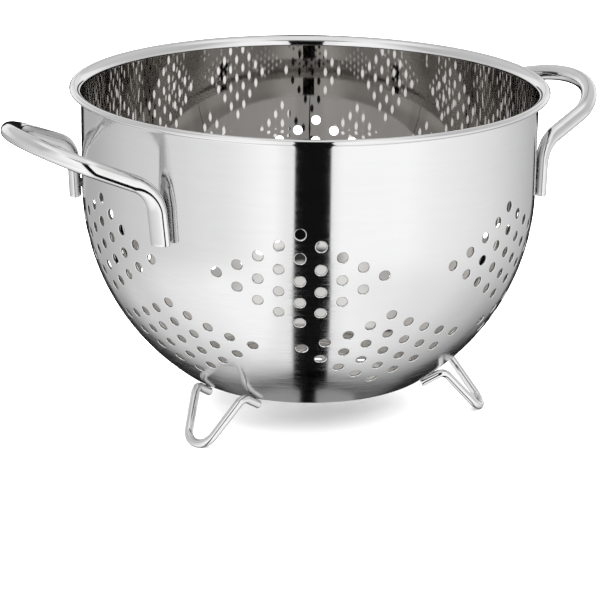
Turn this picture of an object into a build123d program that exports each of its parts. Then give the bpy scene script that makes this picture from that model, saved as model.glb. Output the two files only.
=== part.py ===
from build123d import *
from math import atan, cos, pi, radians, sin, sqrt, tan
import os

# Steel colander, standing on its three feet. Millimetres.
# Z is the bowl's axis and points up. The origin is on the surface that the
# feet stand on, under the middle of the bowl. The handles lie along X.

# Bowl, drawn from one sheet
sheet = 0.8                  # thickness of the steel
wall_radius = 113.8          # outside of the upright wall
base_clearance = 18.0        # from the standing surface to the flat base
bowl_depth = 148.7           # from the flat base to the top of the rim
wall_drop = 51.1             # from the top of the rim to where the wall curves in
base_radius = 53.4           # of the flat part of the base
knuckle_radius = 20.0        # outside, between the flat base and the dished side

# Rim, flared outwards to level and rolled under
rim_overhang = 5.7           # outside of the roll beyond the wall
rim_roll = 3.0               # outside diameter of the roll
roll_turn = 250.0            # degrees that the sheet is rolled through

# Drain holes, punched in diamonds with a staggered pitch
hole_diameter = 5.0
hole_pitch = 11.35           # between neighbouring holes
diamond_side = 5             # holes along each side of a diamond
diamonds_around = 6          # in each of the two rings
upper_ring_share = 0.1654    # of the way down the dished side to the knuckle
upper_punch_tilt = 14.0      # degrees that the punch points below level
lower_ring_share = 0.5579
lower_punch_tilt = 30.3
lower_ring_turn = 23.7       # degrees round from the handle to the nearest lower diamond
base_rings = 2               # rings of holes round the middle hole of the base
punch_reach_share = 2.0      # of the hole pitch, the punch's travel either way

# Handles, bent from round rod with pressed legs
rod_diameter = 8.2
leg_width = 11.2
leg_thickness = 6.2
leg_spread = 24.4            # degrees from the handle's middle to each leg
leg_length = 26.3            # from the cut end up to the corner of the bend
leg_lean = 2.2               # degrees that the leg follows the wall inwards
leg_splay = 5.7              # degrees that the legs part downwards
handle_drop = 31.3           # from the top of the rim to the corner of the bend
handle_bend_radius = 16.0
handle_rise = 22.3           # degrees that the loop slopes upwards
side_converge = 15.6         # degrees that the loop's sides draw together
side_straight = 19.4         # straight length of each side
side_corner_radius = 18.8
side_corner_end = 37.8       # degrees between the corner's end and the outward line
handle_gap = 0.5             # between a leg and the wall, filled by the weld
handle_weld_height = 6.5     # of the weld above the leg's cut end
handle_weld_diameter = 4.0

# Feet, bent from round wire
wire_diameter = 4.1
foot_reach = 89.8            # from the bowl's axis to where a foot touches down
foot_corner = 19.8           # from there to where the two arms would meet
foot_turn = 25.4             # degrees round from a handle to the nearest foot
feet = 3
foot_bend_radius = 4.5       # of the wire's centre line, where the arms turn under the bowl
tab_length = 13.0            # of wire along the bowl, to the corner of the bend
tab_offset = 15.0            # of each tab from the foot's middle
tab_contact_share = 0.9      # of the way up the knuckle, to the weld
tab_weld_share = 0.25        # of the tab's length, from its cut end to the weld
foot_gap = 0.3               # between a tab and the bowl, filled by the weld
foot_weld_diameter = 2.6
foot_flat = 0.15             # depth of the flat worn under each foot

# Sizes that follow from the ones above
rim_top = base_clearance + bowl_depth
dish_centre_height = rim_top - wall_drop
roll_radius = (rim_roll - sheet) / 2
wire_radius = wire_diameter / 2
rod_radius = rod_diameter / 2


def polar(degrees):
    """Unit vector in the XY plane at an angle from +X."""
    return Vector(cos(radians(degrees)), sin(radians(degrees)), 0)


def dish_radius():
    """Outside radius of the dished side: it leaves the wall upright and runs
    smoothly into the knuckle, whose centre is over the edge of the flat base."""
    across = wall_radius - base_radius
    down = bowl_depth - wall_drop - knuckle_radius
    return (across**2 + down**2 - knuckle_radius**2) / (2 * (across - knuckle_radius))


def dish_meets_knuckle():
    """Degrees below level at which the dished side ends."""
    across = base_radius - (wall_radius - dish_radius())
    down = bowl_depth - wall_drop - knuckle_radius
    return 90 - atan(across / down) * 180 / pi


def dish_point(degrees):
    """Distance from the axis, and height, of a point on the outside of the dish."""
    r = dish_radius()
    return wall_radius - r + r * cos(radians(degrees)), dish_centre_height - r * sin(radians(degrees))


class SheetLine:
    """The middle line of a bent sheet, drawn from bends and straight runs."""

    def __init__(self, x, z, heading):
        self.x, self.z, self.heading = x, z, heading
        self.edges = {1: [], -1: []}

    def side(self, way):
        """Point on one face of the sheet, to the left (1) or right (-1)."""
        heading = radians(self.heading)
        return (self.x - way * sin(heading) * sheet / 2, self.z + way * cos(heading) * sheet / 2)

    def run(self, length):
        """Go straight on."""
        start = {way: self.side(way) for way in (1, -1)}
        self.x += length * cos(radians(self.heading))
        self.z += length * sin(radians(self.heading))
        for way in (1, -1):
            self.edges[way].append(Line(start[way], self.side(way)))

    def bend(self, radius, turn):
        """Turn left by an angle, or right if it is negative, on a radius."""
        left = 1 if turn > 0 else -1
        centre = (self.x - left * radius * sin(radians(self.heading)),
                  self.z + left * radius * cos(radians(self.heading)))
        first = self.heading - left * 90
        for way in (1, -1):
            face = CenterArc(centre, radius - way * left * sheet / 2, first, turn)
            self.edges[way].append(face)
        self.heading += turn
        self.x = centre[0] + left * radius * sin(radians(self.heading))
        self.z = centre[1] - left * radius * cos(radians(self.heading))

    def face(self):
        """The section, closed across both ends of the sheet."""
        both = self.edges[1] + self.edges[-1]
        ends = [Line(self.edges[1][i] @ k, self.edges[-1][i] @ k) for i, k in ((0, 0), (-1, 1))]
        return make_face(both + ends)


def bowl_section():
    """Half of the bowl's section, from the middle of the base to the rolled rim."""
    line = SheetLine(0, base_clearance + sheet / 2, 0)
    line.run(base_radius)
    line.bend(knuckle_radius - sheet / 2, 90 - dish_meets_knuckle())
    line.bend(dish_radius() - sheet / 2, dish_meets_knuckle())
    flare_radius = rim_overhang + sheet - rim_roll / 2
    line.run(wall_drop - flare_radius)
    line.bend(flare_radius - sheet / 2, -90)
    line.bend(roll_radius, -roll_turn)
    return line.face()


def punches(centre, out, across, up, steps):
    """One round punch for each step (across, up) of the staggered pattern."""
    reach = 2 * punch_reach_share * hole_pitch
    made = []
    for i, k in steps:
        place = centre + across * (i * hole_pitch * sqrt(3) / 2) + up * (k * hole_pitch / 2)
        made.append(Plane(place, z_dir=out) * Cylinder(hole_diameter / 2, reach))
    return made


def diamond_steps():
    """Half steps of a diamond with the same number of holes along each side."""
    middle = (diamond_side - 1) / 2
    rows = [n - middle for n in range(diamond_side)]
    return [(a + b, a - b) for a in rows for b in rows]


def hexagon_steps(rings):
    """Half steps of a hexagon with rings of holes round a middle hole."""
    rows = range(-rings, rings + 1)
    return [(a + b, a - b) for a in rows for b in rows if abs(a - b) <= rings]


def ring_of_diamonds(ring_share, punch_tilt, first):
    """Punches for diamonds spaced evenly round the dished side."""
    radius, height = dish_point(ring_share * dish_meets_knuckle())
    made = []
    for n in range(diamonds_around):
        facing = polar(first + n * 360 / diamonds_around)
        out = facing * cos(radians(punch_tilt)) - Vector(0, 0, sin(radians(punch_tilt)))
        up = facing * sin(radians(punch_tilt)) + Vector(0, 0, cos(radians(punch_tilt)))
        centre = facing * radius + Vector(0, 0, height)
        made += punches(centre, out, up.cross(out), up, diamond_steps())
    return made


def bowl():
    """The drawn sheet with its drain holes."""
    body = revolve(Plane.XZ * bowl_section(), Axis.Z)
    tools = ring_of_diamonds(upper_ring_share, upper_punch_tilt, 0)
    tools += ring_of_diamonds(lower_ring_share, lower_punch_tilt, lower_ring_turn)
    middle = Vector(0, 0, base_clearance)
    across, along, upwards = Vector(1, 0, 0), Vector(0, 1, 0), Vector(0, 0, 1)
    tools += punches(middle, upwards, across, along, hexagon_steps(base_rings))
    return body - tools


def leg_frame():
    """Corner of a handle's bend, and the directions down its leg and away from the wall."""
    away = polar(leg_spread)
    aside = polar(leg_spread + 90)
    lean = tan(radians(leg_lean))
    radius = wall_radius + handle_gap + leg_thickness / 2 + lean * (leg_length - handle_weld_height)
    corner = away * radius + Vector(0, 0, rim_top - handle_drop)
    down = Vector(0, 0, -1) - away * lean + aside * tan(radians(leg_splay))
    return corner, down.normalized(), away


def loop_plane(corner):
    """Sloping plane of the handle's loop: local X is along the rim, local Y outwards and up."""
    outward = Vector(cos(radians(handle_rise)), 0, sin(radians(handle_rise)))
    along = Vector(0, 1, 0)
    return Plane(Vector(corner.X, 0, corner.Z), x_dir=along, z_dir=along.cross(outward))


def bend_length(down, side):
    """Length of leg, and of side, that the bend between them takes up."""
    turn = pi - radians(down.get_angle(side))
    return handle_bend_radius * tan(turn / 2)


def loop_side(corner):
    """Direction in which a side of the loop leaves the bend."""
    plane = loop_plane(corner)
    inwards = radians(side_converge)
    return plane.from_local_coords(Vector(-sin(inwards), cos(inwards), 0)) - plane.origin


def bent_leg():
    """Leg and bend at the +Y end of a handle: the pressed oval grows into round rod."""
    corner, down, away = leg_frame()
    side = loop_side(corner)
    taken = bend_length(down, side)
    cut_end = corner + down * (leg_length / -down.Z)
    bend = TangentArc(corner + down * taken, corner + side * taken, tangent=down * -1)
    pressed = away.cross(down)
    oval = Ellipse(leg_width / 2, leg_thickness / 2)
    lower = Plane(cut_end, x_dir=pressed, z_dir=bend % 0) * oval
    middle = Plane(bend @ 0, x_dir=pressed, z_dir=bend % 0) * oval
    upper = Plane(bend @ 1, x_dir=pressed - (bend % 1) * pressed.dot(bend % 1), z_dir=bend % 1)
    grown = sweep([middle, upper * Circle(rod_radius)], path=bend, multisection=True)
    return [loft([lower, middle]), grown]


def loop_rod():
    """Round rod from bend to bend: side, corner, end of the loop, corner, side."""
    corner, down, _ = leg_frame()
    plane = loop_plane(corner)
    side = loop_side(corner)
    inwards = radians(side_converge)
    taken = bend_length(down, side)
    start = Vector(corner.Y - sin(inwards) * taken, cos(inwards) * taken)
    turned = start + Vector(-sin(inwards), cos(inwards)) * side_straight
    middle = turned - Vector(cos(inwards), sin(inwards)) * side_corner_radius
    corner_end = radians(side_corner_end)
    met = middle + Vector(cos(corner_end), sin(corner_end)) * side_corner_radius
    end_radius = met.X / cos(corner_end)
    tip = Vector(0, met.Y - end_radius * sin(corner_end) + end_radius)
    flip = lambda p: Vector(-p.X, p.Y)
    first = Line(start, turned)
    path = [first, TangentArc(turned, met, tangent=first % 1), ThreePointArc(met, tip, flip(met))]
    path += [TangentArc(flip(met), flip(turned), tangent=path[-1] % 1), Line(flip(turned), flip(start))]
    path = plane * Wire([edge for piece in path for edge in piece.edges()])
    return sweep(Plane(path @ 0, z_dir=path % 0) * Circle(rod_radius), path=path)


def handle():
    """One handle, on the +X side."""
    leg = bent_leg()
    return loop_rod() + leg + [piece.mirror(Plane.XZ) for piece in leg]


def weld_blanks(start, out, diameter, length):
    """A round blank standing out from its start, and the same on the other side."""
    upright = (Align.CENTER, Align.CENTER, Align.MIN)
    blank = Plane(start, z_dir=out) * Cylinder(diameter / 2, length, align=upright)
    return [blank, blank.mirror(Plane.XZ)]


def handle_weld_blanks():
    """Round blanks for the welds between a handle's legs and the wall."""
    corner, down, away = leg_frame()
    place = corner + down * ((leg_length - handle_weld_height) / -down.Z)
    inner = away.dot(Vector(place.X, place.Y, 0)) - leg_thickness / 2 - handle_gap - sheet / 2
    start = place - away * (away.dot(Vector(place.X, place.Y, 0)) - inner)
    return weld_blanks(start, away, handle_weld_diameter, sheet / 2 + handle_gap + leg_thickness / 2)


def tab_line():
    """Weld point of a tab on the knuckle, the way out of the steel there, and along the tab."""
    climb = radians(tab_contact_share * (90 - dish_meets_knuckle()))
    radius = base_radius + knuckle_radius * sin(climb)
    height = base_clearance + knuckle_radius * (1 - cos(climb))
    facing = Vector(sqrt(radius**2 - tab_offset**2), tab_offset, 0) * (1 / radius)
    out = facing * sin(climb) - Vector(0, 0, cos(climb))
    along = (Vector(1, 0, 0) - out * out.X).normalized()
    return facing * radius + Vector(0, 0, height), out, along


def foot():
    """One foot, on the +X side: two tabs under the bowl and two arms that meet in a loop."""
    weld, out, along = tab_line()
    centre = weld + out * (wire_radius + foot_gap)
    tab_end = centre - along * (tab_weld_share * tab_length)
    bend = centre + along * ((1 - tab_weld_share) * tab_length)
    low = Vector(foot_reach, 0, wire_radius - foot_flat)
    between = Vector(bend.X, 0, bend.Z)
    climb = (between - low).normalized()
    meet = low - climb * foot_corner
    half_angle = atan(bend.Y / (between - meet).length)
    loop_radius = foot_corner / (1 / sin(half_angle) - 1)
    flip = lambda p: Vector(p.X, -p.Y, p.Z)
    corners = [tab_end, bend, meet, flip(bend), flip(tab_end)]
    path = FilletPolyline(*corners, radius=[foot_bend_radius, loop_radius, foot_bend_radius])
    wire = sweep(Plane(path @ 0, z_dir=path % 0) * Circle(wire_radius), path=path)
    wide = 4 * wire_diameter
    ground = Box(wide, wide, wire_diameter, align=(Align.CENTER, Align.CENTER, Align.MAX))
    return wire - Pos(foot_reach, 0, 0) * ground


def foot_weld_blanks():
    """Round blanks for the welds between a foot's tabs and the bowl."""
    weld, out, _ = tab_line()
    start = weld - out * (sheet / 2)
    return weld_blanks(start, out, foot_weld_diameter, sheet / 2 + foot_gap + wire_radius)


def welds(blanks, *joined):
    """The weld metal that is left between the two pieces that each blank joins."""
    beads = []
    for blank in blanks:
        left = blank
        for piece in joined:
            left = left - piece
        beads.append(left.solid())
    return Compound(beads)


def write(node, shape):
    shape.label = node
    export_step(shape, f"parts/{node}.step")


def main():
    os.makedirs("parts", exist_ok=True)
    shell = bowl()
    one_handle = handle()
    handle_beads = welds(handle_weld_blanks(), one_handle, shell)
    one_foot = foot()
    write("bowl", shell)
    for name, turn in (("right", 0), ("left", 180)):
        write(f"handle_{name}", Rot(0, 0, turn) * one_handle)
        write(f"handle_{name}_welds", Rot(0, 0, turn) * handle_beads)
    for n, name in enumerate(("front_left", "front_right", "back")[:feet]):
        turn = Rot(0, 0, 180 + foot_turn + n * 360 / feet)
        beads = welds([turn * blank for blank in foot_weld_blanks()], turn * one_foot, shell)
        write(f"foot_{name}", turn * one_foot)
        write(f"foot_{name}_welds", beads)


main()
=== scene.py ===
from math import acos, atan, atan2, ceil, cos, exp, hypot, log, pi, radians, sin, sqrt, tan

import bpy
from mathutils import Matrix, Vector, noise
from mathutils.geometry import delaunay_2d_cdt


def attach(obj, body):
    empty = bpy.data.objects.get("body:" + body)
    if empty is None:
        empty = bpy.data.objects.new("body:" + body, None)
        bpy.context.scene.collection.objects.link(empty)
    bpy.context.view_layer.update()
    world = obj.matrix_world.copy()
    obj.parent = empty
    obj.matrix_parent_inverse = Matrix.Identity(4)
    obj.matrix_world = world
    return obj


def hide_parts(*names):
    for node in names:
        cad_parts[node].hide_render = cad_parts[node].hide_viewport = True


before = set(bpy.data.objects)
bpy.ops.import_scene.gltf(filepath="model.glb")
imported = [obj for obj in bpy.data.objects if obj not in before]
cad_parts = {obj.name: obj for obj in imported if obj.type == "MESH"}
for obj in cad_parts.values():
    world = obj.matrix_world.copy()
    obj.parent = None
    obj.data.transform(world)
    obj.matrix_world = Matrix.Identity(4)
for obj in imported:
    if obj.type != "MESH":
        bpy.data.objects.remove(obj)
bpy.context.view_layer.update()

# Steel colander on three wire feet, dressed piece by piece over its packed
# frame. The drawing sizes are in millimetres and degrees; mm turns millimetres
# into metres.
mm = 0.001

# Bowl: its outside face, with centres as distance from the axis and height.
# The rim's radii are those of the sheet's middle line.
sheet = 0.8
wall_radius = 113.8
base_height = 18.0
base_radius = 53.4
knuckle_radius = 20.0
dish_radius = 114.66
dish_centre = Vector((wall_radius - dish_radius, 115.6))
knuckle_centre = Vector((base_radius, base_height + knuckle_radius))
wall_top = 161.7
flare_radius = 4.6
flare_turn = 90.0
roll_radius = 1.1
roll_turn = 250.0

# Net of the bowl: points in a full row, the rows on the flat base with their
# distances and points, and the steps along each stretch of the profile. Then
# the flat map's step and tolerance, and the cells in which holes are looked up.
row_points = 240
base_rows = [(0.0, 1), (8.0, 24), (16.0, 48), (24.0, 60), (32.0, 80), (40.0, 100), (47.0, 140)]
knuckle_steps, dish_steps, wall_steps = 6, 26, 9
flare_steps, roll_steps = 14, 28
map_step = 0.2
map_tolerance = 1e-5
cell_size = 10

# Drain holes. A ring of diamonds has its angle below the dish's centre, the
# tilt of its punch and the turn of its first diamond.
hole_radius = 2.5
hole_pitch = 11.35
hole_points = 28
diamonds = 6
upper_ring = (9.1, 14.0, 0.0)
lower_ring = (30.7, 30.3, 23.7)
lip = 0.45
hole_clearance = 0.7

# Rings down a hole: how much wider than the hole, how deep under the outside
# face, and how far the normal has turned towards the hole's axis. The first
# steps between them are the rolled-over edge, and the rest is sheared. Each
# point settles on the face in a few steps.
hole_profile = [(lip, 0.0, 0.0), (0.16, 0.05, 0.55), (0.0, 0.28, 1.0),
                (0.0, sheet - 0.1, 1.0), (0.08, sheet, 0.0)]
rolled_steps = 2
settling_steps = 5

# Handles, the right one first
rod_radius = 4.1
rod_points = 48
rod_step = 1.5
bend_steps, corner_steps, tip_steps = 26, 10, 30
leg_half_width = 5.6
leg_half_thickness = 3.1
leg_spread = 24.4
leg_length = 26.3
leg_lean = 2.2
leg_splay = 5.7
bend_height = 135.4
handle_bend = 16.0
handle_rise = 22.3
side_converge = 15.6
side_straight = 19.4
side_corner = 18.8
side_corner_end = 37.8
handle_gap = 0.5
handle_weld_height = 6.5
handle_turns = {"right": 0.0, "left": 180.0}

# Feet
wire_radius = 2.05
wire_points = 36
wire_step = 1.2
tab_bend_steps, loop_steps = 14, 40
foot_reach = 89.8
foot_low = 1.9
foot_corner = 19.8
foot_bend = 4.5
tab_length = 13.0
tab_offset = 15.0
tab_climb = 31.47
tab_weld_share = 0.25
foot_gap = 0.3
foot_turns = {"front_left": 205.4, "front_right": 325.4, "back": 85.4}

# Rounding of the cut ends of rods and wires, and the angle over which their
# edges stay crisp
cut_edge = 0.25
cut_steps = 4
crisp_cut = 40.0

# Weld beads: distance out of the bowl and radius of each ring, and how much
# and how often in a millimetre their surface waves
handle_bead = [(-0.3, 2.9), (0.0, 2.75), (0.1, 2.35), (0.3, 2.1),
               (0.5, 2.2), (0.62, 2.45), (0.8, 2.6), (1.1, 2.6)]
foot_bead = [(-0.25, 1.9), (0.0, 1.75), (0.08, 1.45), (0.2, 1.35),
             (0.32, 1.5), (0.6, 1.6), (0.9, 1.5)]
bead_points = 32
bead_unevenness = 0.06
bead_waves = 0.9
bead_reach = 3
crisp_bead = 60.0

# Studio: the floor and the lens in millimetres, and the camera's place and
# turns in metres and degrees
floor_half = 9000
floor_height = -0.02
camera_side = 241.8
camera_distance = 1.27168
camera_height = 0.45249
camera_lens = 156.64
camera_reach = 50
camera_tilt, camera_swing, camera_dip, camera_roll = 12.744, -0.158, -4.68, -0.725

# Light: how bright the steel sees the studio, how bright all else does, and
# the level part of the view towards the colander
mirrored_light = 1.42
plain_light = 4.6
level_view = 0.942


def polar(degrees, radius=1.0, height=0.0):
    """A point at an angle from +X, a distance from the axis and a height."""
    return Vector((radius * cos(radians(degrees)), radius * sin(radians(degrees)), height))


# Nodes of the finishes and the studio

class Value:
    """A socket of a node tree. Sums and products on it add Math nodes."""

    def __init__(self, nodes, socket):
        self.nodes, self.socket = nodes, socket

    def __add__(self, other):
        return self.nodes.math("ADD", self, other)

    def __radd__(self, other):
        return self.nodes.math("ADD", other, self)

    def __sub__(self, other):
        return self.nodes.math("SUBTRACT", self, other)

    def __rsub__(self, other):
        return self.nodes.math("SUBTRACT", other, self)

    def __mul__(self, other):
        return self.nodes.math("MULTIPLY", self, other)

    def __rmul__(self, other):
        return self.nodes.math("MULTIPLY", other, self)

    def __truediv__(self, other):
        return self.nodes.math("DIVIDE", self, other)

    def __rtruediv__(self, other):
        return self.nodes.math("DIVIDE", other, self)


class Nodes:
    """The node tree of one finish, or of the studio."""

    def __init__(self, owner):
        owner.use_nodes = True
        self.tree = owner.node_tree
        self.tree.nodes.clear()

    def node(self, kind, settings=(), inputs=(), output=0):
        """A node of a kind, with its settings first and then its sockets' values or links."""
        made = self.tree.nodes.new("ShaderNode" + kind)
        for name, setting in dict(settings).items():
            if name == "stops":
                self.set_stops(made.color_ramp, setting)
            else:
                setattr(made, name, setting)
        for key, value in dict(inputs).items():
            if isinstance(value, Value):
                self.tree.links.new(value.socket, made.inputs[key])
            else:
                made.inputs[key].default_value = value
        return Value(self, made.outputs[output]) if made.outputs else made

    def set_stops(self, ramp, stops):
        """Grey or coloured stops, from low to high."""
        ends = ramp.elements
        for k, (place, level) in enumerate(stops):
            stop = ends[0] if k == 0 else ends[-1] if k == len(stops) - 1 else ends.new(place)
            stop.position = place
            stop.color = (*level, 1) if isinstance(level, tuple) else (level, level, level, 1)

    def math(self, operation, *values):
        return self.node("Math", {"operation": operation}, dict(enumerate(values)))

    def smooth(self, value, low, high, start=0.0, end=1.0):
        """A soft step from start to end as the value goes from low to high."""
        sizes = {"Value": value, "From Min": low, "From Max": high, "To Min": start, "To Max": end}
        return self.node("MapRange", {"interpolation_type": "SMOOTHSTEP"}, sizes)

    def mix(self, share, first, second):
        """Between two numbers."""
        return self.node("Mix", {"data_type": "FLOAT"}, {0: share, 2: first, 3: second})

    def blend(self, share, first, second):
        """Between two colours."""
        return self.node("Mix", {"data_type": "RGBA"}, {0: share, 6: first, 7: second}, 2)

    def ramp(self, value, *stops):
        """Levels or colours that follow a value from 0 to 1."""
        return self.node("ValToRGB", {"stops": stops}, {0: value})

    def grain(self, vector, scale, detail=2.0, roughness=0.5):
        """Fine unevenness from 0 to 1, with its middle at 0.5."""
        sizes = {"Vector": vector, "Scale": scale, "Detail": detail, "Roughness": roughness}
        return self.node("TexNoise", {}, sizes)

    def place(self):
        """Coordinates on the piece, in metres."""
        return self.node("TexCoord", {}, {}, "Object")

    def parts(self, vector):
        """The three coordinates of a vector."""
        return [self.node("SeparateXYZ", {}, {0: vector}, axis) for axis in "XYZ"]

    def vector(self, x, y, z):
        return self.node("CombineXYZ", {}, {0: x, 1: y, 2: z})

    def metal(self, inputs, bump=None, depth=0.0, strength=0.0):
        """Bare metal, with a relief of some depth in metres."""
        if bump is not None:
            relief = {"Height": bump, "Distance": depth, "Strength": strength}
            inputs["Normal"] = self.node("Bump", {}, relief)
        shader = self.node("BsdfPrincipled", {}, {"Metallic": 1.0, **inputs})
        self.node("OutputMaterial", {}, {"Surface": shader})


def finish(name):
    """A new material and its empty node tree."""
    material = bpy.data.materials.new(name)
    return material, Nodes(material)


def round_the_bowl(n, lines, around):
    """Coordinates that run in lines round the bowl: fine across them, long along them."""
    x, y, z = n.parts(n.place())
    radius = n.math("SQRT", x * x + y * y)
    off_middle = n.math("MAXIMUM", radius, 0.0005)
    return n.vector(x / off_middle * around, y / off_middle * around, (z + radius) * lines)


# Finishes

def satin_outside():
    """Outside of the bowl: brushed in fine lines round it, brighter polished towards the rim."""
    material, n = finish("satin_brushed_steel")
    fine = n.grain(round_the_bowl(n, 1150.0, 7.0), 1.0, 3.0, 0.6)
    coarse = n.grain(round_the_bowl(n, 420.0, 4.0), 1.0, 2.0, 0.5)
    spot = n.place()
    handled = n.grain(spot, 22.0, 3.0, 0.55)
    lower = n.smooth(n.parts(spot)[2], 0.135, 0.085)
    streak = n.smooth(fine * 0.75 + coarse * 0.25, 0.38, 0.64)
    rough = n.mix(lower, 0.075, 0.085) + streak * n.mix(lower, 0.035, 0.10) + handled * 0.02
    tone = n.smooth(coarse * 0.5 + handled * 0.5, 0.3, 0.7)
    colour = n.blend(tone, (0.655, 0.655, 0.66, 1), (0.675, 0.675, 0.675, 1))
    n.metal({"Base Color": colour, "Roughness": rough,
             "Anisotropic": 0.9, "Anisotropic Rotation": 0.25}, fine, 0.000012, 0.6)
    return material


def polished_inside():
    """Inside of the bowl: mirror bright over faint drawing lines."""
    material, n = finish("polished_drawn_steel")
    lines = n.grain(round_the_bowl(n, 900.0, 5.0), 1.0, 2.0, 0.5)
    stain = n.grain(n.place(), 30.0, 3.0, 0.6)
    rough = 0.018 + n.smooth(lines, 0.4, 0.7) * 0.005 + n.smooth(stain, 0.45, 0.7) * 0.008
    stained = n.smooth(stain, 0.35, 0.7)
    colour = n.blend(stained, (0.575, 0.565, 0.55, 1), (0.545, 0.53, 0.515, 1))
    n.metal({"Base Color": colour, "Roughness": rough,
             "Anisotropic": 0.95, "Anisotropic Rotation": 0.25})
    return material


def polished_rim():
    """Rolled rim: polished, with a few hairlines where lids and pots have touched its top."""
    material, n = finish("polished_rolled_rim")
    lines = n.grain(round_the_bowl(n, 1600.0, 6.0), 1.0, 3.0, 0.6)
    spot = n.place()
    touched = n.smooth(n.parts(spot)[2], 0.1655, 0.1667)
    worn = n.smooth(n.grain(spot, 90.0, 4.0, 0.65), 0.52, 0.72) * touched
    rough = 0.05 + n.smooth(lines, 0.4, 0.7) * 0.02 + worn * 0.06
    colour = n.blend(worn, (0.67, 0.67, 0.67, 1), (0.62, 0.615, 0.61, 1))
    n.metal({"Base Color": colour, "Roughness": rough,
             "Anisotropic": 0.5, "Anisotropic Rotation": 0.25}, lines, 0.00001, 0.4)
    return material


def punched_edge_painted_highlight():
    """Rolled-over edge of a drain hole, roughened by the punch; its colour, brighter than the rest
    of the sheet, is a painted highlight.
    """
    material, n = finish("punched_hole_edge_painted_highlight")
    drag = n.grain(n.place(), 700.0, 3.0, 0.6)
    rough = 0.16 + n.smooth(drag, 0.35, 0.7) * 0.08
    # Painted highlight: the edge's steel is coloured brighter than the sheet, standing in for the
    # light the rounded edge catches
    colour = n.blend(drag, (0.80, 0.80, 0.80, 1), (0.74, 0.735, 0.73, 1))
    n.metal({"Base Color": colour, "Roughness": rough}, drag, 0.00002, 0.4)
    return material


def sheared_wall_painted_shade():
    """Wall of a drain hole below its rolled-over edge: torn dull by the punch, and coloured near
    black as painted shade inside the bore.
    """
    material, n = finish("sheared_hole_wall_painted_shade")
    drag = n.grain(n.place(), 900.0, 3.0, 0.6)
    rough = 0.32 + n.smooth(drag, 0.35, 0.7) * 0.12
    # Painted shade: the wall's steel is coloured near black, standing in for the shade inside the
    # hole
    colour = n.blend(drag, (0.20, 0.20, 0.20, 1), (0.13, 0.13, 0.13, 1))
    n.metal({"Base Color": colour, "Roughness": rough}, drag, 0.00002, 0.5)
    return material


def polished_rod(name, stands=False):
    """Handle rod or foot wire: mirror polished, with handling marks and hairlines.

    A wire that the colander stands on is scuffed at its foot.
    """
    material, n = finish(name)
    spot = n.place()
    x, y, z = n.parts(spot)
    marks = n.smooth(n.grain(spot, 60.0, 4.0, 0.6), 0.48, 0.72)
    strands = n.vector(x * 260.0, y * 260.0, z * 1400.0)
    hair = n.smooth(n.grain(strands, 1.0, 3.0, 0.65), 0.55, 0.72)
    rough = 0.045 + marks * 0.03 + hair * 0.03
    if stands:
        rough = rough + n.smooth(z, 0.006, 0.0012) * 0.22
    colour = n.blend(marks, (0.68, 0.68, 0.68, 1), (0.64, 0.635, 0.63, 1))
    n.metal({"Base Color": colour, "Roughness": rough}, hair, 0.000008, 0.4)
    return material


def weld_metal():
    """Weld bead: dull and pitted, tinted by the heat towards its edges."""
    material, n = finish("heat_tinted_weld")
    heat = n.node("Attribute", {"attribute_name": "heat"}, {}, "Fac")
    pits = n.grain(n.place(), 1500.0, 4.0, 0.65)
    warm = n.ramp(heat + (pits - 0.5) * 0.4,
                  (0.0, (0.40, 0.39, 0.38)), (0.45, (0.42, 0.34, 0.22)),
                  (0.75, (0.27, 0.20, 0.22)), (1.0, (0.22, 0.25, 0.33)))
    n.metal({"Base Color": warm, "Roughness": 0.38 + pits * 0.2}, pits, 0.00008, 0.7)
    return material


# Pieces and their places in the frame

def make_piece(name, points, faces, materials, slots=None, normals=None):
    """An object from points in millimetres."""
    mesh = bpy.data.meshes.new(name)
    mesh.from_pydata([(p[0] * mm, p[1] * mm, p[2] * mm) for p in points], [], faces)
    for material in materials:
        mesh.materials.append(material)
    if slots:
        mesh.polygons.foreach_set("material_index", slots)
    mesh.polygons.foreach_set("use_smooth", [True] * len(mesh.polygons))
    mesh.validate()
    mesh.update()
    if normals:
        mesh.normals_split_custom_set_from_vertices(normals)
    piece = bpy.data.objects.new(name, mesh)
    bpy.context.scene.collection.objects.link(piece)
    return piece


def dress(piece, node):
    """The piece takes a node's place in the frame."""
    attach(piece, "root")
    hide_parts(node)


# Profile of the bowl, by its length along the outside face from the middle

knuckle_turn = atan((base_radius - dish_centre.x) / (dish_centre.y - knuckle_centre.y))
knuckle_length = knuckle_radius * knuckle_turn
dish_length = dish_radius * (pi / 2 - knuckle_turn)
knuckle_start = base_radius
dish_start = knuckle_start + knuckle_length
wall_start = dish_start + dish_length
wall_end = wall_start + wall_top - dish_centre.y


def face_line(t):
    """Outside face of the sheet at a length from its middle: point and outward normal."""
    if t <= knuckle_start:
        return Vector((t, base_height)), Vector((0, -1))
    if t <= wall_start:
        bend = (t - knuckle_start) / knuckle_radius
        centre, radius = knuckle_centre, knuckle_radius
        if t > dish_start:
            bend = knuckle_turn + (t - dish_start) / dish_radius
            centre, radius = dish_centre, dish_radius
        out = Vector((sin(bend), -cos(bend)))
        return centre + out * radius, out
    return Vector((wall_radius, dish_centre.y + t - wall_start)), Vector((1, 0))


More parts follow.
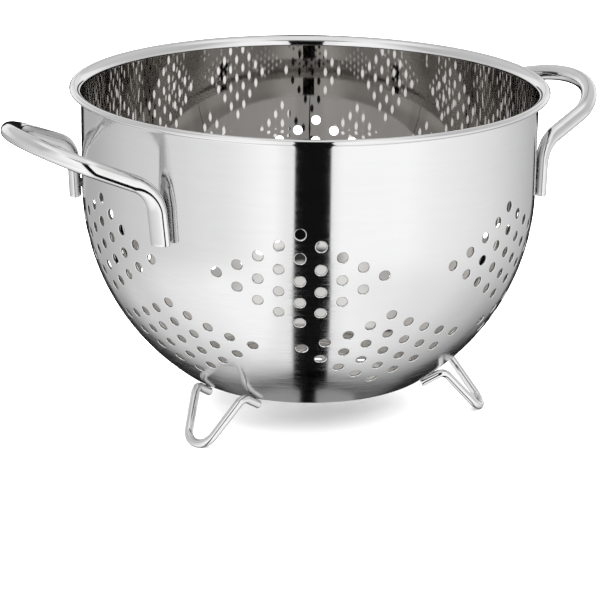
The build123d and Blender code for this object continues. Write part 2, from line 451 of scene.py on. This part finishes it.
def on_face(point):
    """Height over the outside face, length from the middle and outward normal at a point."""
    r = hypot(point.x, point.y)
    if point.z >= dish_centre.y:
        lift, t, out = r - wall_radius, wall_start + point.z - dish_centre.y, (1.0, 0.0)
    elif r <= base_radius and point.z < knuckle_centre.y:
        lift, t, out = base_height - point.z, r, (0.0, -1.0)
    else:
        bend = atan2(r - dish_centre.x, dish_centre.y - point.z)
        if bend >= knuckle_turn:
            lift = hypot(r - dish_centre.x, dish_centre.y - point.z) - dish_radius
            t = dish_start + dish_radius * (bend - knuckle_turn)
        else:
            bend = atan2(r - base_radius, knuckle_centre.y - point.z)
            lift = hypot(r - base_radius, knuckle_centre.y - point.z) - knuckle_radius
            t = knuckle_start + knuckle_radius * bend
        out = (sin(bend), -cos(bend))
    return lift, t, Vector((point.x / r * out[0], point.y / r * out[0], out[1]))


def around(turn, spot):
    """A point or normal of the profile, turned round the axis by an angle in radians."""
    return Vector((cos(turn) * spot.x, sin(turn) * spot.x, spot.y))


def spread_table():
    """Logarithms of the distances from the middle on a flat map that keeps the sheet's angles."""
    table, total, t = [], log(knuckle_start), knuckle_start
    while t < wall_end + map_step:
        table.append(total)
        total += map_step / face_line(t + map_step / 2)[0].x
        t += map_step
    return table


spread = spread_table()


def on_map(t, angle):
    """Place on the flat map of the sheet."""
    if t > knuckle_start:
        place = (t - knuckle_start) / map_step
        k = min(int(place), len(spread) - 2)
        t = exp(spread[k] + (spread[k + 1] - spread[k]) * (place - k))
    return Vector((t * cos(angle), t * sin(angle)))


# Drain holes

def place_hole(middle, across, up, i, k):
    """Middle of one hole in a pattern of staggered rows."""
    return middle + across * (i * hole_pitch * sqrt(3) / 2) + up * (k * hole_pitch / 2)


def punch_holes():
    """Middle of every drain hole, and its directions out of the steel, across and up."""
    holes = []
    rows = range(-2, 3)
    diamond = [(a + b, a - b) for a in rows for b in rows]
    for ring_angle, tilt, first in (upper_ring, lower_ring):
        bend = pi / 2 - radians(ring_angle)
        centre = dish_centre + Vector((sin(bend), -cos(bend))) * dish_radius
        level, rise = cos(radians(tilt)), sin(radians(tilt))
        for number in range(diamonds):
            facing = polar(first + 360 / diamonds * number)
            out = facing * level - Vector((0, 0, rise))
            up = facing * rise + Vector((0, 0, level))
            across = up.cross(out)
            middle = facing * centre.x + Vector((0, 0, centre.y))
            holes += [(place_hole(middle, across, up, i, k), out, across, up) for i, k in diamond]
    middle, out = Vector((0, 0, base_height)), Vector((0, 0, -1))
    across, up = Vector((1, 0, 0)), Vector((0, -1, 0))
    holes += [(place_hole(middle, across, up, i, k), out, across, up)
              for i, k in diamond if abs(k) <= 2]
    return holes


def hole_rings(hole):
    """Rings of points down a hole, from its rolled-over edge outside to its crisp edge inside.

    Each point has its normal and its length from the bowl's middle.
    """
    middle, out, across, up = hole
    rings = []
    for wider, depth, towards in hole_profile:
        ring = []
        for k in range(hole_points):
            turn = 2 * pi * k / hole_points
            spoke = across * cos(turn) + up * sin(turn)
            point = middle + spoke * (hole_radius + wider)
            for _ in range(settling_steps):
                lift, _, normal = on_face(point)
                point = point - out * ((lift + depth) / normal.dot(out))
            _, t, normal = on_face(point)
            face = normal if depth < sheet / 2 else -normal
            ring.append((point, (face * (1 - towards) - spoke * towards).normalized(), t))
        rings.append(ring)
    return rings


# Bowl. Its finishes are numbered in the order of make_bowl's materials.

on_outside, on_inside, on_rim, on_hole_edge, on_hole_wall = range(5)


class Shell:
    """Points of the bowl with their normals, and its faces with their finishes."""

    def __init__(self):
        self.points, self.normals, self.faces, self.slots = [], [], [], []

    def point(self, place, normal):
        """Add a point, and give its number."""
        self.points.append(place)
        self.normals.append(normal)
        return len(self.points) - 1

    def face(self, corners, slot, turned=False):
        """Add a face, the other way round if it is turned."""
        self.faces.append(corners[::-1] if turned else corners)
        self.slots.append(slot)

    def band(self, row, beyond, slot, turned=False):
        """Add the faces between two closed rows."""
        for k in range(len(row)):
            after = (k + 1) % len(row)
            self.face([row[k], row[after], beyond[after], beyond[k]], slot, turned)


def sheet_rows():
    """Rows of points round the bowl: length from the middle, and how many points."""
    rows = list(base_rows)
    for start, length, steps in ((knuckle_start, knuckle_length, knuckle_steps),
                                 (dish_start, dish_length, dish_steps),
                                 (wall_start, wall_end - wall_start, wall_steps)):
        rows += [(start + length * k / steps, row_points) for k in range(steps)]
    return rows + [(wall_end, row_points)]


def cell_of(point):
    """Coarse cell of space that a point is in."""
    return tuple(int(c // cell_size) for c in point)


def near_hole(point, middles):
    """Whether a point is too near a hole for the net."""
    reach = hole_radius + lip + hole_clearance
    i, j, k = cell_of(point)
    steps = (-1, 0, 1)
    cells = [(i + a, j + b, k + c) for a in steps for b in steps for c in steps]
    return any((point - middle).length < reach
               for cell in cells for middle in middles.get(cell, ()))


def net_face(shell, holes, numbers, ring, depth, slot):
    """One face of the sheet, netted between its rows and round one ring of every hole.

    Gives the numbers of the points in its top row.
    """
    spots, owners, loops, middles = [], [], [], {}
    for h, rings in enumerate(holes):
        first = len(spots)
        loops += [(first + k, first + (k + 1) % hole_points) for k in range(hole_points)]
        for number, (point, _, t) in zip(numbers[h][ring], rings[ring]):
            spots.append(on_map(t, atan2(point.y, point.x)))
            owners.append((number, h))
        middle = sum((point for point, _, _ in rings[ring]), Vector()) / hole_points
        middles.setdefault(cell_of(middle), []).append(middle)
    rows = sheet_rows()
    for row, (t, count) in enumerate(rows):
        line, out = face_line(t)
        stagger = (len(rows) - 1 - row) % 2 * 0.5
        for k in range(count):
            turn = 2 * pi * (k + stagger) / count
            normal = around(turn, out)
            point = around(turn, line) - normal * depth
            if not near_hole(point, middles):
                number = shell.point(point, normal if depth == 0 else -normal)
                spots.append(on_map(t, turn))
                owners.append((number, None))
    _, _, nets, origins, _, _ = delaunay_2d_cdt(spots, loops, [], 0, map_tolerance)
    for net in nets:
        corners = [owners[origins[k][0]] for k in net]
        hole = corners[0][1]
        if hole is None or any(other != hole for _, other in corners):
            shell.face([number for number, _ in corners], slot, turned=depth == 0)
    return [number for number, _ in owners[-row_points:]]


def bend_line(place, heading, radius, turn, steps):
    """Places and headings round a bend to the right, without its start."""
    start = radians(heading)
    centre = place - Vector((-sin(start), cos(start))) * radius
    line = []
    for k in range(1, steps + 1):
        now = heading - turn * k / steps
        line.append((centre - Vector((sin(radians(now)), -cos(radians(now)))) * radius, now))
    return line


def rim_line():
    """Middle line of the rim, from the top of the wall round the flare and the roll."""
    line = [(Vector((wall_radius - sheet / 2, wall_top)), 90.0)]
    for radius, turn, steps in ((flare_radius, flare_turn, flare_steps),
                                (roll_radius, roll_turn, roll_steps)):
        line += bend_line(*line[-1], radius, turn, steps)
    return line


def add_rim(shell, outside_top, inside_top):
    """Both faces of the flared and rolled rim, closed over its cut edge."""
    line = rim_line()
    row_turns = [2 * pi * k / row_points for k in range(row_points)]
    last_rows = []
    for side, row in ((1, outside_top), (-1, inside_top)):
        for place, heading in line[1:]:
            out = Vector((sin(radians(heading)), -cos(radians(heading)))) * side
            spot = place + out * sheet / 2
            above = [shell.point(around(turn, spot), around(turn, out)) for turn in row_turns]
            shell.band(row, above, on_rim, turned=side < 0)
            row = above
        last_rows.append(row)
    heading = line[-1][1]
    ahead = Vector((cos(radians(heading)), sin(radians(heading))))
    ends = [[shell.point(shell.points[number].copy(), around(turn, ahead))
             for number, turn in zip(row, row_turns)] for row in last_rows]
    shell.band(*ends, on_rim)


def make_bowl():
    """The drawn bowl: walls of the holes, outside face, inside face, and the rim."""
    shell = Shell()
    holes = [hole_rings(hole) for hole in punch_holes()]
    numbers = []
    for rings in holes:
        rows = [[shell.point(point, normal) for point, normal, _ in ring] for ring in rings]
        for step, (row, deeper) in enumerate(zip(rows, rows[1:])):
            shell.band(row, deeper, on_hole_edge if step < rolled_steps else on_hole_wall)
        numbers.append(rows)
    outside_top = net_face(shell, holes, numbers, 0, 0.0, on_outside)
    inside_top = net_face(shell, holes, numbers, -1, sheet, on_inside)
    add_rim(shell, outside_top, inside_top)
    materials = [satin_outside(), polished_inside(), polished_rim(), punched_edge_painted_highlight(), sheared_wall_painted_shade()]
    piece = make_piece("bowl_shell", shell.points, shell.faces, materials,
                       shell.slots, shell.normals)
    dress(piece, "bowl")


# Handles and feet

class Rod:
    """Centre line of a bent rod, followed from its cut end."""

    def __init__(self, start, heading, across):
        self.at, self.heading, self.across = start, heading.normalized(), across.normalized()
        self.stations = []

    def here(self):
        """Place, heading and first axis of the rod's section."""
        return self.at.copy(), self.heading.copy(), self.across.copy()

    def run(self, length, step):
        """Go straight on."""
        steps = max(1, ceil(length / step))
        for _ in range(steps):
            self.at = self.at + self.heading * (length / steps)
            self.stations.append(self.here())

    def bend(self, radius, towards, turn, steps):
        """Bend by an angle in radians on a radius, towards a side."""
        towards = (towards - self.heading * towards.dot(self.heading)).normalized()
        axis = self.heading.cross(towards)
        centre = self.at + towards * radius
        for _ in range(steps):
            part = Matrix.Rotation(turn / steps, 3, axis)
            self.at = centre + part @ (self.at - centre)
            self.heading = part @ self.heading
            self.across = part @ self.across
            self.stations.append(self.here())


def oval(at, heading, across, wide, thick, count):
    """A ring of points round a rod, with half sizes along its section's two axes."""
    other = heading.cross(across)
    ring_turns = [2 * pi * k / count for k in range(count)]
    return [at + across * (wide * cos(turn)) + other * (thick * sin(turn)) for turn in ring_turns]


def cut_end(at, heading, across, half, count):
    """Rings that round off the edge of a cut end; the last one is the smallest."""
    wide, thick = half
    rings = []
    for k in range(1, cut_steps + 1):
        turn = k / cut_steps * pi / 2
        inwards = cut_edge * (1 - cos(turn))
        back = at - heading * (cut_edge * sin(turn) - cut_edge)
        rings.append(oval(back, heading, across, wide - inwards, thick - inwards, count))
    return rings


def skin(rings, first=0):
    """Faces over a row of rings, closed at both ends."""
    count = len(rings[0])
    faces = []
    for r in range(len(rings) - 1):
        for k in range(count):
            after = (k + 1) % count
            a, b = first + r * count, first + (r + 1) * count
            faces.append([a + k, a + after, b + after, b + k])
    last = first + (len(rings) - 1) * count
    faces.append([first + k for k in reversed(range(count))])
    faces.append([last + k for k in range(count)])
    return faces


def flip(point):
    """The same point on the other side of a handle or foot."""
    return Vector((point.x, -point.y, point.z))


def leg_frame():
    """Corner of a handle's bend, the way down its leg and away from the wall."""
    away = polar(leg_spread)
    lean = tan(radians(leg_lean))
    over_weld = leg_length - handle_weld_height
    radius = wall_radius + handle_gap + leg_half_thickness + lean * over_weld
    corner = away * radius + Vector((0, 0, bend_height))
    down = Vector((0, 0, -1)) - away * lean + polar(leg_spread + 90) * tan(radians(leg_splay))
    return corner, down.normalized(), away


def handle_rings():
    """One handle, on the +X side: leg, bend, side and corner, and the same mirrored."""
    corner, down, away = leg_frame()
    outward = Vector((cos(radians(handle_rise)), 0, sin(radians(handle_rise))))
    inwards = radians(side_converge)
    side = outward * cos(inwards) - Vector((0, sin(inwards), 0))
    turn = acos(-down.dot(side))
    taken = handle_bend * tan(turn / 2)
    end = corner + down * (leg_length / -down.z)
    wide, thick = leg_half_width, leg_half_thickness
    rod = Rod(end, -down, away.cross(down))
    rounded = cut_end(*rod.here(), (wide, thick), rod_points)
    rod.at = end - down * cut_edge
    rod.run((corner - end).length - taken - cut_edge, rod_step)
    straight = len(rod.stations)
    rod.bend(handle_bend, side, turn, bend_steps)
    bent = len(rod.stations)
    rod.run(side_straight, rod_step)
    inner = -Vector((0, cos(inwards), 0)) - outward * sin(inwards)
    rod.bend(side_corner, inner, radians(side_corner_end - side_converge), corner_steps)
    tip_radius = rod.at.y / cos(radians(side_corner_end))
    rod.bend(tip_radius, inner, radians(90 - side_corner_end), tip_steps)
    # The pressed oval of the leg turns round along the bend
    rings = rounded[::-1]
    for k, station in enumerate(rod.stations):
        share = min(1, max(0, (k + 1 - straight) / (bent - straight)))
        rings.append(oval(*station, wide + (rod_radius - wide) * share,
                          thick + (rod_radius - thick) * share, rod_points))
    return rings + [[flip(point) for point in ring] for ring in rings[-2::-1]]


def foot_frame():
    """Weld point of a tab on the knuckle, the way out of the steel there, and along the tab."""
    climb = radians(tab_climb)
    radius = base_radius + knuckle_radius * sin(climb)
    height = base_height + knuckle_radius * (1 - cos(climb))
    facing = Vector((sqrt(radius ** 2 - tab_offset ** 2), tab_offset, 0)) / radius
    out = facing * sin(climb) - Vector((0, 0, cos(climb)))
    along = (Vector((1, 0, 0)) - out * out.x).normalized()
    return facing * radius + Vector((0, 0, height)), out, along


def foot_rings():
    """One foot, on the +X side: a tab, an arm, the loop it stands on, an arm and a tab."""
    weld, out, along = foot_frame()
    centre = weld + out * (wire_radius + foot_gap)
    tab_end = centre - along * (tab_weld_share * tab_length)
    bend = centre + along * ((1 - tab_weld_share) * tab_length)
    low = Vector((foot_reach, 0, foot_low))
    between = Vector((bend.x, 0, bend.z))
    climb = (between - low).normalized()
    meet = low - climb * foot_corner
    half_angle = atan(bend.y / (between - meet).length)
    loop = foot_corner / (1 / sin(half_angle) - 1)
    corners = [bend, meet, flip(bend), flip(tab_end)]
    half = (wire_radius, wire_radius)
    rod = Rod(tab_end, along, along.cross(out))
    rings = cut_end(*rod.here(), half, wire_points)[::-1]
    rod.at = tab_end + along * cut_edge
    rod.stations.append(rod.here())
    bends = ((foot_bend, tab_bend_steps), (loop, loop_steps), (foot_bend, tab_bend_steps))
    for corner, after, (radius, steps) in zip(corners, corners[1:], bends):
        ahead = (after - corner).normalized()
        turn = acos(rod.heading.dot(ahead))
        rod.run((corner - rod.at).length - radius * tan(turn / 2), wire_step)
        rod.bend(radius, ahead, turn, steps)
    rod.run((corners[-1] - rod.at).length - cut_edge, wire_step)
    rings += [oval(*station, *half, wire_points) for station in rod.stations]
    # The far end is made looking back, so its rings run the other way round
    at, heading, across = rod.here()
    back = cut_end(at + heading * cut_edge, -heading, across, half, wire_points)
    rings += [[ring[-k % wire_points] for k in range(wire_points)] for ring in back]
    # The small flat worn into the loop is level with the floor
    return [[Vector((p.x, p.y, max(p.z, 0.0))) for p in ring] for ring in rings]


def lay_rods(part, stock, rings, metal, turns):
    """The same rod or wire at each of its turns round the bowl."""
    faces = skin(rings)
    for name, turn in turns.items():
        place = Matrix.Rotation(radians(turn), 3, "Z")
        points = [place @ point for ring in rings for point in ring]
        piece = make_piece(f"{name}_{part}_{stock}", points, faces, [metal])
        piece.data.set_sharp_from_angle(angle=radians(crisp_cut))
        dress(piece, f"{part}_{name}")


def make_rods():
    """Both handles and all three feet."""
    bright_rod = polished_rod("polished_handle_rod")
    bright_wire = polished_rod("polished_foot_wire", stands=True)
    lay_rods("handle", "rod", handle_rings(), bright_rod, handle_turns)
    lay_rods("foot", "wire", foot_rings(), bright_wire, foot_turns)


# Weld beads

def bead_rings(start, out, profile):
    """Rings of one weld bead, slightly uneven as it set."""
    across = out.cross(Vector((0, 0, 1))).normalized()
    up = out.cross(across)
    rings = []
    for along, radius in profile:
        ring = []
        for k in range(bead_points):
            turn = 2 * pi * k / bead_points
            spoke = across * cos(turn) + up * sin(turn)
            waves = noise.noise((start + spoke * bead_reach + out * along) * bead_waves)
            uneven = 1 + bead_unevenness * waves
            ring.append(start + out * along + spoke * radius * uneven)
        rings.append(ring)
    return rings


def lay_beads(part, rings, metal, turns):
    """Both beads of each joint as one piece, with the heat growing towards their edges."""
    for name, turn in turns.items():
        place = Matrix.Rotation(radians(turn), 3, "Z")
        points, faces, heat = [], [], []
        for mirrored in (False, True):
            faces += [face[::-1] if mirrored else face for face in skin(rings, len(points))]
            for r, ring in enumerate(rings):
                points += [place @ (flip(point) if mirrored else point) for point in ring]
                heat += [abs(2 * r / (len(rings) - 1) - 1)] * len(ring)
        piece = make_piece(f"{name}_{part}_beads", points, faces, [metal])
        shade = piece.data.attributes.new("heat", "FLOAT", "POINT")
        shade.data.foreach_set("value", heat)
        piece.data.set_sharp_from_angle(angle=radians(crisp_bead))
        dress(piece, f"{part}_{name}_welds")


def make_welds():
    """Beads between the handles' legs and the wall, and between the feet's tabs and the bowl."""
    metal = weld_metal()
    corner, down, away = leg_frame()
    spot = corner + down * ((leg_length - handle_weld_height) / -down.z)
    out = away.dot(Vector((spot.x, spot.y, 0)))
    wall = spot - away * (out - wall_radius)
    lay_beads("handle", bead_rings(wall, away, handle_bead), metal, handle_turns)
    weld, out, _ = foot_frame()
    lay_beads("foot", bead_rings(weld, out, foot_bead), metal, foot_turns)


# Studio

def make_floor():
    """A plain pale sweep for the colander to stand on."""
    signs = ((-1, -1), (1, -1), (1, 1), (-1, 1))
    corners = [(floor_half * i, floor_half * j, floor_height) for i, j in signs]
    material, n = finish("pale_studio_floor")
    tone = n.blend(n.grain(n.place(), 3.0, 2.0), (0.93, 0.93, 0.93, 1), (0.95, 0.95, 0.95, 1))
    matt = {"Base Color": tone, "Roughness": 0.6, "Specular IOR Level": 0.0}
    n.node("OutputMaterial", {}, {"Surface": n.node("BsdfPrincipled", {}, matt)})
    floor = make_piece("studio_floor", corners, [[0, 1, 2, 3]], [material])
    floor.visible_glossy = False


def make_light():
    """Soft white light all round, with the dark flags that give steel its contrast.

    Steel mirrors the studio with its flags. The floor and the background get a
    plain white glow.
    """
    world = bpy.data.worlds.new("soft_studio")
    bpy.context.scene.world = world
    n = Nodes(world)

    # A direction in the studio: to the front, across to the right, round from
    # the front (0) to the back (1), and up from the horizon (0) to the top (1).
    # Last, how far round from the front the steel faces that mirrors it there.
    x, y, z = n.parts(n.node("TexCoord", {}, {}, "Generated"))
    facing, right = polar(camera_side), polar(camera_side + 90)
    front = x * facing.x + y * facing.y
    across = x * right.x + y * right.y
    side = n.math("ABSOLUTE", across)
    round_share = n.math("ARCTAN2", side, front) / pi
    height = n.math("ARCSINE", z) / (pi / 2)
    turned = side / n.math("MAXIMUM", 0.01, front + level_view)

    # Light that the wall mirrors, light that the dish mirrors, and the light on
    # and above the horizon that rim, rods and wires mirror
    level = n.ramp(round_share, (0.0, 0.98), (0.28, 0.98), (0.36, 0.90), (0.48, 0.82),
                   (0.57, 0.75), (0.69, 0.60), (0.81, 0.44), (0.862, 0.38), (0.878, 0.01),
                   (1.0, 0.01))
    deep = n.ramp(round_share, (0.0, 0.98), (0.28, 0.96), (0.36, 0.90), (0.5, 0.82),
                  (0.63, 0.62), (0.70, 0.55), (0.75, 0.42), (0.84, 0.20), (0.89, 0.11),
                  (1.0, 0.13))
    horizon = n.ramp(round_share, (0.0, 1.0), (0.25, 0.85), (0.40, 0.60), (0.60, 0.55),
                     (0.80, 0.80), (1.0, 0.78))
    above = n.ramp(round_share, (0.0, 1.0), (0.22, 0.90), (0.38, 0.48), (0.65, 0.52), (1.0, 0.60))
    behind = n.smooth(round_share, 0.86, 0.90)
    below = n.smooth(height, -0.25, -0.43)
    over = n.smooth(height - behind * 0.12, -0.085, -0.045)

    # Dimmer to the left on the wall. On the dish lighter to the left, dimmer to
    # the right, and dark along both outlines.
    level = level * (1 - n.smooth(across, -0.25, -0.75) * 0.21)
    outline = n.smooth(turned, 0.6, 1.1) * n.smooth(round_share, 0.80, 0.855)
    left_low = n.smooth(across, -0.05, -0.4) * n.smooth(round_share, 0.60, 0.74)
    right_low = n.smooth(across, 0.0, 0.6)
    deep = deep * (1 - right_low * 0.10) * (1 + left_low * 0.20) * (1 - outline * 0.88)
    upper = n.mix(n.smooth(height, 0.16, 0.22), horizon, above)
    tone = n.mix(over, n.mix(below, level, deep), upper)

    # The lighter patch at the foot of the bowl, and an even light overhead
    patch = n.smooth(front + turned * turned * 1.55, -0.34, -0.37)
    tone = n.mix(patch * n.smooth(height, -0.16, -0.20), tone, 0.30)
    tone = n.mix(n.smooth(height, 0.55, 0.75), tone, 0.86)

    # The dark strip down the middle, as wide in each direction as the bowl
    # shows it, and a dark bar high up in front
    bar = n.smooth(height, 0.53, 0.57) * n.smooth(height, 0.66, 0.62)
    bar = bar * n.smooth(side, 0.40, 0.15) * n.smooth(front, 0.0, 0.2)
    width = n.ramp(front * 0.5 + 0.5, (0.0, 0.004), (0.095, 0.011), (0.15, 0.02), (0.30, 0.03),
                   (0.318, 0.067), (0.36, 0.072), (0.595, 0.105), (0.765, 0.127), (0.895, 0.144),
                   (1.0, 0.149))
    beside = n.math("ABSOLUTE", across - width * 0.235) - width
    strip = n.smooth(beside, -0.006, 0.006) + n.smooth(height, 0.50, 0.56)
    strip = n.math("MINIMUM", 1.0, 0.006 + strip) * (1 - bar * 0.95)
    shoulder = n.smooth(side, 0.15, 0.30, 0.86, 1.0)
    seen = tone * strip * shoulder * mirrored_light

    camera_ray, diffuse_ray = [n.node("LightPath", {}, {}, kind)
                               for kind in ("Is Camera Ray", "Is Diffuse Ray")]
    glow = n.mix(n.math("MAXIMUM", camera_ray, diffuse_ray), seen, plain_light)
    background = n.node("Background", {}, {"Color": n.vector(glow, glow, glow)})
    n.node("OutputWorld", {}, {"Surface": background})


def make_camera():
    """The photograph's viewing angle."""
    camera = bpy.data.cameras.new("camera")
    camera.lens = camera_lens
    camera.clip_end = camera_reach
    view = bpy.data.objects.new("camera", camera)
    bpy.context.scene.collection.objects.link(view)
    bpy.context.scene.camera = view
    tilt, swing = radians(camera_tilt), radians(camera_swing)
    dip, roll = radians(camera_dip), radians(camera_roll)
    away = -polar(camera_side)
    ahead = away * cos(tilt) - Vector((0, 0, sin(tilt)))
    up = away * sin(tilt) + Vector((0, 0, cos(tilt)))
    right = ahead.cross(up)
    ahead, right = ahead * cos(swing) + right * sin(swing), right * cos(swing) - ahead * sin(swing)
    ahead, up = ahead * cos(dip) + up * sin(dip), up * cos(dip) - ahead * sin(dip)
    right, up = right * cos(roll) - up * sin(roll), up * cos(roll) + right * sin(roll)
    turn = Matrix((right, up, -ahead)).transposed().to_4x4()
    eye = polar(camera_side, camera_distance, camera_height)
    view.matrix_world = Matrix.Translation(eye) @ turn


def set_render():
    """Plain colours, and enough bounces for steel that mirrors itself."""
    scene = bpy.context.scene
    scene.view_settings.view_transform = "Standard"
    scene.view_settings.look = "None"
    scene.cycles.max_bounces = 24
    scene.cycles.glossy_bounces = 20
    scene.cycles.diffuse_bounces = 3
    scene.cycles.use_denoising = True


make_bowl()
make_rods()
make_welds()
make_floor()
make_light()
make_camera()
set_render()
